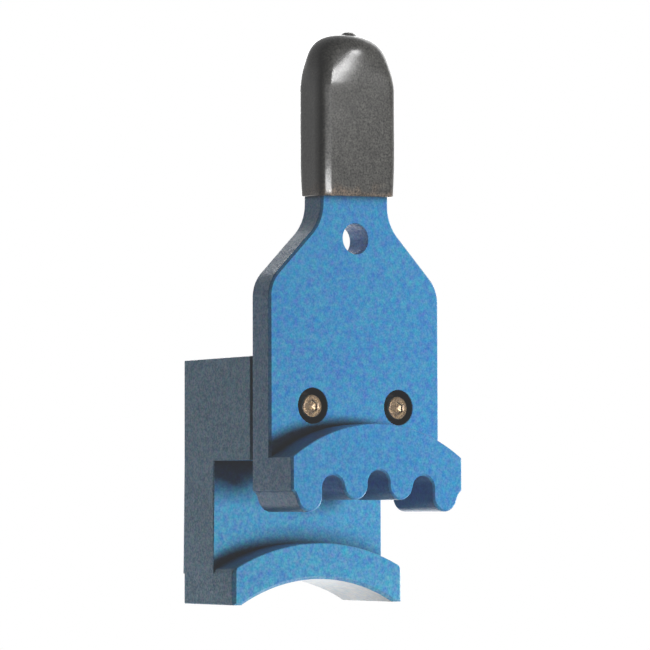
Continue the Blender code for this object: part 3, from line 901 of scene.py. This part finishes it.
class Shader:
    """A node material in the making. Its patterns are placed by object coordinates, in metres."""

    def __init__(self, name):
        self.material = bpy.data.materials.new(name)
        self.material.use_nodes = True
        self.tree = self.material.node_tree
        self.surface = self.tree.nodes["Principled BSDF"]
        self.place = self.add("ShaderNodeTexCoord").outputs["Object"]

    def add(self, kind, inputs=None, **settings):
        return add_node(self.tree, kind, inputs, **settings)

    def set(self, **inputs):
        """Feeds the surface's inputs: base_color for Base Color, and so on."""
        for name, value in inputs.items():
            label = name.replace("_", " ").title().replace("Ior", "IOR")
            feed(self.tree, self.surface.inputs[label], value)

    def vector_math(self, operation, *values, output="Vector"):
        inputs = dict(enumerate(values))
        return self.add("ShaderNodeVectorMath", inputs, operation=operation).outputs[output]

    def noise(self, size, detail=2.0, place=None, output="Fac"):
        """Cloudy noise between 0 and 1, with features of this size."""
        inputs = {"Vector": place or self.place, "Scale": 1 / size, "Detail": detail}
        return self.add("ShaderNodeTexNoise", inputs).outputs[output]

    def tint(self, size, amounts, output="Fac"):
        """Noise around 1, by this amount in each colour channel. The Color output varies them separately."""
        middle = tuple(1 - amount / 2 for amount in amounts)
        return self.vector_math("MULTIPLY_ADD", self.noise(size, output=output), amounts, middle)

    def stretched(self, x, y, z):
        """The place with its axes scaled, for brushed and drawn patterns."""
        return self.vector_math("MULTIPLY", self.place, (x, y, z))

    def spread(self, value, *ends):
        return ramp(self.tree, value, *ends)

    def vary(self, size, low, high, detail=2.0):
        """Cloudy noise, spread from one value to another."""
        return self.spread(self.noise(size, detail), 0.3, 0.7, low, high)

    def math(self, operation, one, two):
        return self.add("ShaderNodeMath", {0: one, 1: two}, operation=operation).outputs["Value"]

    def mix(self, share, one, two, blend="MIX"):
        inputs = {"Factor": share, 6: one, 7: two}
        return self.add("ShaderNodeMix", inputs, data_type="RGBA", blend_type=blend).outputs[2]

    def multiply(self, one, two):
        """Two colours multiplied."""
        return self.mix(1.0, one, two, "MULTIPLY")

    def height(self, axis="Z"):
        return self.add("ShaderNodeSeparateXYZ", {"Vector": self.place}).outputs[axis]

    def worn_edges(self, radius, low, high):
        """1 on edges sharper than this radius and 0 on flats."""
        own = self.add("ShaderNodeNewGeometry").outputs["Normal"]
        bevelled = self.add("ShaderNodeBevel", {"Radius": radius}, samples=4).outputs["Normal"]
        even = self.vector_math("DOT_PRODUCT", own, bevelled, output="Value")
        return self.spread(even, 1 - low, 1 - high, 0.0, 1.0)

    def open_to_light(self, reach):
        """1 in the open, falling towards 0 in inner corners, within this reach."""
        return self.add("ShaderNodeAmbientOcclusion", {"Distance": reach}, samples=8).outputs["AO"]

    def hub_seat(self):
        """1 on the arch that rides on the hub, and 0 elsewhere."""
        level = self.stretched(1, 0, 1)
        from_axis = self.vector_math("DISTANCE", level, (0, 0, WHEEL_AXIS_Z), output="Value")
        front = LEDGE_FRONT_Y + HUB_CUT
        behind = self.spread(self.height("Y"), front, front + SEAT_FADE, 0.0, 1.0)
        near = self.spread(from_axis, HUB_RADIUS + SEAT_FADE, HUB_RADIUS + 0.1 * SEAT_FADE, 0.0, 1.0)
        return self.math("MULTIPLY", near, behind)

    def bump(self, height, depth, strength, normal=None):
        inputs = {"Height": height, "Distance": depth, "Strength": strength}
        if normal:
            inputs["Normal"] = normal
        return self.add("ShaderNodeBump", inputs).outputs["Normal"]


def rgb(red, green, blue):
    return (red, green, blue, 1.0)


JAW_DYES = (rgb(0.040, 0.236, 0.494), rgb(0.046, 0.246, 0.489))
# The block's blues are painted lighter and greener than the jaw's: painted light for the light from below
# that brightens the ledge.
BLOCK_LIGHTENED_BLUES = (rgb(0.057, 0.276, 0.500), rgb(0.063, 0.286, 0.495))


def make_blue_anodised(name, dyes, painted_shade_reach):
    """Bead-blasted aluminium, dyed blue: cloudy dye, a fine blasted grain and slightly rubbed edges.

    The two dye colours alternate in soft clouds. Painted shade darkens inner corners, in colour and in shine,
    within the reach passed in.
    """
    shader = Shader(name)
    cloud = shader.vary(14 * MM, 0.0, 1.0, 1.0)
    colour = shader.mix(cloud, *dyes)
    colour = shader.multiply(colour, shader.tint(1.3 * MM, (3.0, 1.2, 0.25), output="Color"))
    colour = shader.multiply(colour, shader.tint(0.45 * MM, (2.2, 0.9, 0.5)))
    # Painted shade: inner corners are darkened by ambient occlusion, in the colour here and in the shine
    # below.
    corner = shader.spread(shader.open_to_light(painted_shade_reach), 0.48, 0.92, 0.22, 1.0)
    colour = shader.multiply(colour, corner)
    rubbed = shader.worn_edges(0.16 * MM, 0.02, 0.12)
    rubbed = shader.math("MULTIPLY", rubbed, shader.spread(shader.noise(2.5 * MM), 0.45, 0.7, 0.05, 0.45))
    colour = shader.mix(rubbed, colour, rgb(0.22, 0.42, 0.60))
    # The arch that rides on the hub is mixed towards grey in patches.
    patches = shader.vary(1.5 * MM, 0.45, 0.75)
    seat = shader.math("MULTIPLY", shader.hub_seat(), patches)
    colour = shader.mix(seat, colour, rgb(0.50, 0.47, 0.42))
    rough = shader.vary(0.9 * MM, 0.38, 0.50)
    rough = shader.math("SUBTRACT", rough, shader.math("MULTIPLY", rubbed, 0.12))
    shine = shader.spread(shader.noise(0.45 * MM), 0.38, 0.62, 0.24, 0.82)
    # The painted corner shade dims the shine as well.
    shine = shader.math("MULTIPLY", shine, corner)
    blasted = shader.bump(shader.noise(0.16 * MM, 3.0), 0.012 * MM, 0.7)
    shader.set(base_color=colour, roughness=rough, specular_ior_level=shine, normal=blasted)
    return shader.material


def make_dark_vinyl():
    """Dipped vinyl: nearly black and glossy, with a fine grain and a warmer, thinner mouth. The drip on top
    is painted pale grey as a painted highlight.
    """
    shader = Shader("dark_vinyl")
    tone = shader.vary(4.0 * MM, 0.0, 1.0, 3.0)
    colour = shader.mix(tone, rgb(0.041, 0.040, 0.036), rgb(0.052, 0.051, 0.046))
    mouth_line = shader.spread(shader.noise(5.0 * MM, 1.0), 0.35, 0.65, 1.2 * MM, 3.2 * MM)
    above_mouth = shader.math("SUBTRACT", shader.height(), MOUTH_Z)
    near_mouth = shader.spread(shader.math("DIVIDE", above_mouth, mouth_line), 1.4, 0.2, 0.0, 1.0)
    colour = shader.mix(near_mouth, colour, rgb(0.105, 0.078, 0.056))
    # Painted highlight: the drip on top is painted pale grey.
    drip_painted_highlight = shader.spread(shader.height(), GRIP_TOP_Z + 0.1 * MM, GRIP_TOP_Z + 0.5 * MM, 0.0, 0.8)
    colour = shader.mix(drip_painted_highlight, colour, rgb(0.60, 0.59, 0.56))
    grain = shader.tint(0.45 * MM, (5.0, 5.0, 5.0))
    colour = shader.multiply(colour, grain)
    colour = shader.multiply(colour, shader.tint(1.6 * MM, (0.9, 0.9, 0.9)))
    rubbed = shader.worn_edges(0.5 * MM, 0.01, 0.1)
    rough = shader.vary(1.2 * MM, 0.40, 0.52)
    rough = shader.math("SUBTRACT", rough, shader.math("MULTIPLY", rubbed, 0.05))
    peel = shader.bump(shader.noise(1.6 * MM, 1.0), 0.02 * MM, 0.5)
    pores = shader.bump(shader.noise(0.32 * MM), 0.010 * MM, 0.6, peel)
    shader.set(base_color=colour, roughness=rough, specular_ior_level=0.12, normal=pores)
    shader.set(coat_weight=0.45, coat_roughness=0.18, coat_normal=pores)
    return shader.material


def make_yellow_zinc():
    """Yellow-passivated steel: golden brown with faint colour bands, rubbed bright on its edges."""
    shader = Shader("yellow_zinc")
    film = shader.spread(shader.noise(0.9 * MM, 3.0), 0.35, 0.65, 0.0, 1.0)
    colour = shader.mix(film, rgb(0.62, 0.44, 0.25), rgb(0.45, 0.33, 0.24))
    spots = shader.spread(shader.noise(0.5 * MM), 0.45, 0.65, 0.0, 0.8)
    colour = shader.mix(spots, colour, rgb(0.20, 0.13, 0.08))
    rubbed = shader.worn_edges(0.2 * MM, 0.005, 0.08)
    colour = shader.mix(rubbed, colour, rgb(0.95, 0.84, 0.66))
    rough = shader.vary(0.4 * MM, 0.22, 0.40)
    rough = shader.math("SUBTRACT", rough, shader.math("MULTIPLY", rubbed, 0.08))
    turned_marks = shader.bump(shader.noise(0.2 * MM), 0.01 * MM, 0.6)
    shader.set(base_color=colour, roughness=rough, metallic=1.0, normal=turned_marks)
    return shader.material


def make_black_oxide():
    """Blackened steel, grey where its rim has been rubbed."""
    shader = Shader("black_oxide")
    tone = shader.vary(0.8 * MM, 0.0, 1.0, 3.0)
    colour = shader.mix(tone, rgb(0.030, 0.027, 0.026), rgb(0.060, 0.053, 0.048))
    rubbed = shader.worn_edges(0.08 * MM, 0.02, 0.1)
    colour = shader.mix(shader.math("MULTIPLY", rubbed, 0.5), colour, rgb(0.30, 0.28, 0.26))
    rough = shader.vary(0.5 * MM, 0.38, 0.60)
    stamped = shader.bump(shader.noise(0.25 * MM), 0.01 * MM, 0.5)
    shader.set(base_color=colour, roughness=rough, metallic=0.7, normal=stamped)
    return shader.material


def make_bright_steel():
    """Ground steel with fine marks round its axis, Y."""
    shader = Shader("bright_steel")
    tone = shader.vary(1.5 * MM, 0.0, 1.0)
    colour = shader.mix(tone, rgb(0.52, 0.53, 0.55), rgb(0.62, 0.62, 0.62))
    marks = shader.noise(0.12 * MM, place=shader.stretched(0.1, 1.0, 0.1))
    rubbed = shader.worn_edges(0.1 * MM, 0.02, 0.1)
    colour = shader.mix(rubbed, colour, rgb(0.80, 0.80, 0.80))
    rough = shader.spread(marks, 0.3, 0.7, 0.18, 0.34)
    shader.set(base_color=colour, roughness=rough, metallic=1.0, normal=shader.bump(marks, 0.006 * MM, 0.5))
    return shader.material


# Studio

CAMERA_TURN = math.radians(35.99)
CAMERA_TILT = math.radians(3.435)
CAMERA_ROLL = math.radians(-0.151)
CAMERA_DISTANCE = 709.34 * MM
CAMERA_AIM = Vector((-8.687 * MM, PLATE_FRONT_Y, 63.275 * MM))
CAMERA_LENS = 173.61
CAMERA_SENSOR = 36.0
FLOOR_SIZE = 6.0
WHITE = (1.0, 1.0, 1.0, 1.0)
ROOM_FILL = 0.012
FLOOR_FILL = 0.012
LEFT_REFLECTION = 0.03
RIGHT_REFLECTION = 0.35
BACK_REFLECTION = 0.95
NEAR_FLOOR_REFLECTION = 0.5
LEFT_FLOOR_REFLECTION = 2.3
FAR_FLOOR_REFLECTION = 3.5
VEIL = 0.03

# Lights: name, turn and tilt in degrees, distance, size, power and the height they aim at
KEY_LIGHT = ("key", 35, -6.5, 0.6, (0.11, 0.15), 4.6, 50 * MM)
BACK_LIGHT = ("back", 150, 12, 0.8, (0.6, 0.6), 6.0, 50 * MM)
GRIP_LIGHTS = (
    ("grip_shoulder_light", 30, 16, 0.5, (0.10, 0.075), 1.05, 122 * MM),
    ("grip_edge_light", 12, 9, 0.5, (0.08, 0.07), 0.05, 108 * MM),
    ("grip_mouth_light", -6, -1.5, 0.5, (0.5, 0.06), 4.6, 95 * MM),
    ("grip_rim_light", 115, 30, 0.5, (0.3, 0.3), 0.9, 122 * MM),
)
SCREW_LIGHT = ("screw_light", 14, 2, 0.5, (0.14, 0.14), 0.35, 45 * MM)


def heading(turn, tilt):
    """The level direction +Y turned towards +X, then tilted up."""
    return Vector((math.sin(turn) * math.cos(tilt), math.cos(turn) * math.cos(tilt), math.sin(tilt)))


def make_camera():
    forward = heading(CAMERA_TURN, CAMERA_TILT)
    right = Vector((math.cos(CAMERA_TURN), -math.sin(CAMERA_TURN), 0))
    up = right.cross(forward)
    right, up = (right * math.cos(CAMERA_ROLL) + up * math.sin(CAMERA_ROLL),
                 up * math.cos(CAMERA_ROLL) - right * math.sin(CAMERA_ROLL))
    lens = bpy.data.cameras.new("camera")
    lens.lens, lens.sensor_width = CAMERA_LENS, CAMERA_SENSOR
    camera = bpy.data.objects.new("camera", lens)
    axes = Matrix((right, up, -forward)).transposed()
    location = CAMERA_AIM - forward * CAMERA_DISTANCE
    camera.matrix_world = Matrix.LocRotScale(location, axes.to_quaternion(), None)
    bpy.context.scene.collection.objects.link(camera)
    bpy.context.scene.camera = camera


def by_ray(tree, mirrored, diffuse):
    """Strength of a backdrop to glossy rays and to diffuse rays. The camera sees it white."""
    rays = tree.nodes.new("ShaderNodeLightPath")
    strength = diffuse
    for kind, value in (("Is Glossy Ray", mirrored), ("Is Camera Ray", 1.0)):
        inputs = {"Factor": rays.outputs[kind], 2: strength, 3: value}
        strength = add_node(tree, "ShaderNodeMix", inputs).outputs[0]
    return strength


def ramp_along(tree, coordinate, axis, *ends):
    """A smooth change of strength along one axis."""
    split = add_node(tree, "ShaderNodeSeparateXYZ", {"Vector": coordinate})
    return ramp(tree, split.outputs[axis], *ends)


def make_world():
    """A white backdrop. Reflections see it bright behind the object and dim in front, like a dark room."""
    world = bpy.data.worlds.new("studio")
    world.use_nodes = True
    tree = world.node_tree
    direction = tree.nodes.new("ShaderNodeTexCoord").outputs["Generated"]
    front = ramp_along(tree, direction, "X", -0.2, 0.5, LEFT_REFLECTION, RIGHT_REFLECTION)
    mirrored = ramp_along(tree, direction, "Y", -0.45, 0.35, front, BACK_REFLECTION)
    background = tree.nodes["Background"].inputs
    feed(tree, background["Strength"], by_ray(tree, mirrored, ROOM_FILL))
    feed(tree, background["Color"], WHITE)
    bpy.context.scene.world = world


def make_floor():
    """A plain white floor that runs out into the backdrop. Light from below its level still passes."""
    mesh = bpy.data.meshes.new("floor")
    half = FLOOR_SIZE / 2
    corners = [(-half, -half, 0), (half, -half, 0), (half, half, 0), (-half, half, 0)]
    mesh.from_pydata(corners, [], [(0, 1, 2, 3)])
    floor = bpy.data.objects.new("floor", mesh)
    floor.visible_shadow = False
    bpy.context.scene.collection.objects.link(floor)
    material = bpy.data.materials.new("floor_paper")
    material.use_nodes = True
    tree = material.node_tree
    place = tree.nodes.new("ShaderNodeNewGeometry").outputs["Position"]
    beside = ramp_along(tree, place, "X", -0.02, 0.0, LEFT_FLOOR_REFLECTION, FAR_FLOOR_REFLECTION)
    mirrored = ramp_along(tree, place, "Y", -0.02, 0.02, NEAR_FLOOR_REFLECTION, beside)
    inputs = {"Color": WHITE, "Strength": by_ray(tree, mirrored, FLOOR_FILL)}
    glow = add_node(tree, "ShaderNodeEmission", inputs)
    tree.links.new(glow.outputs["Emission"], tree.nodes["Material Output"].inputs["Surface"])
    mesh.materials.append(material)


def add_light(name, turn, tilt, distance, size, power, aim_z, diffuse=True, glossy=True):
    """A soft light of this width and height. A positive turn is to the right of the object's front."""
    lamp = bpy.data.lights.new(name, "AREA")
    lamp.shape, lamp.energy = "RECTANGLE", power
    lamp.size, lamp.size_y = size
    light = bpy.data.objects.new(name, lamp)
    aim = Vector((0, PLATE_FRONT_Y, aim_z))
    towards = heading(math.radians(turn), math.radians(tilt))
    towards.y = -towards.y
    light.location = aim + towards * distance
    light.rotation_euler = (-towards).to_track_quat("-Z", "Y").to_euler()
    light.visible_diffuse, light.visible_glossy = diffuse, glossy
    bpy.context.scene.collection.objects.link(light)
    return light


def add_highlights(lights, receivers):
    """Lights that only make highlights, and only on the receivers."""
    group = bpy.data.collections.new(f"{lights[0][0]}_receivers")
    for piece in receivers:
        group.objects.link(piece)
    for row in lights:
        light = add_light(*row, diffuse=False)
        light.light_linking.receiver_collection = group


def make_lights(grip, screws):
    """A key light, a light behind that shapes the back, and highlights for the grip and the screws."""
    add_light(*KEY_LIGHT, glossy=False)
    add_light(*BACK_LIGHT)
    add_highlights(GRIP_LIGHTS, [grip])
    add_highlights([SCREW_LIGHT], screws)


def develop():
    """Shows colours as they are, with slightly lifted blacks."""
    view = bpy.context.scene.view_settings
    view.view_transform = "Standard"
    view.use_curve_mapping = True
    view.curve_mapping.black_level = (-VEIL, -VEIL, -VEIL)
    view.curve_mapping.update()


def main():
    zinc = make_yellow_zinc()
    oxide = make_black_oxide()
    steel = make_bright_steel()
    make_toothed_jaw(make_blue_anodised("blue_anodised", JAW_DYES, 3.5 * MM))
    make_saddle_block(make_blue_anodised("blue_anodised_block", BLOCK_LIGHTENED_BLUES, 8 * MM))
    grip = make_grip(make_dark_vinyl())
    screws = [make_screw(side, zinc) for side in SIDES]
    for side in SIDES:
        make_washer(side, oxide)
        make_insert(side, steel)
        make_dowel(side, steel)
    make_floor()
    make_world()
    make_lights(grip, screws)
    make_camera()
    develop()


main()
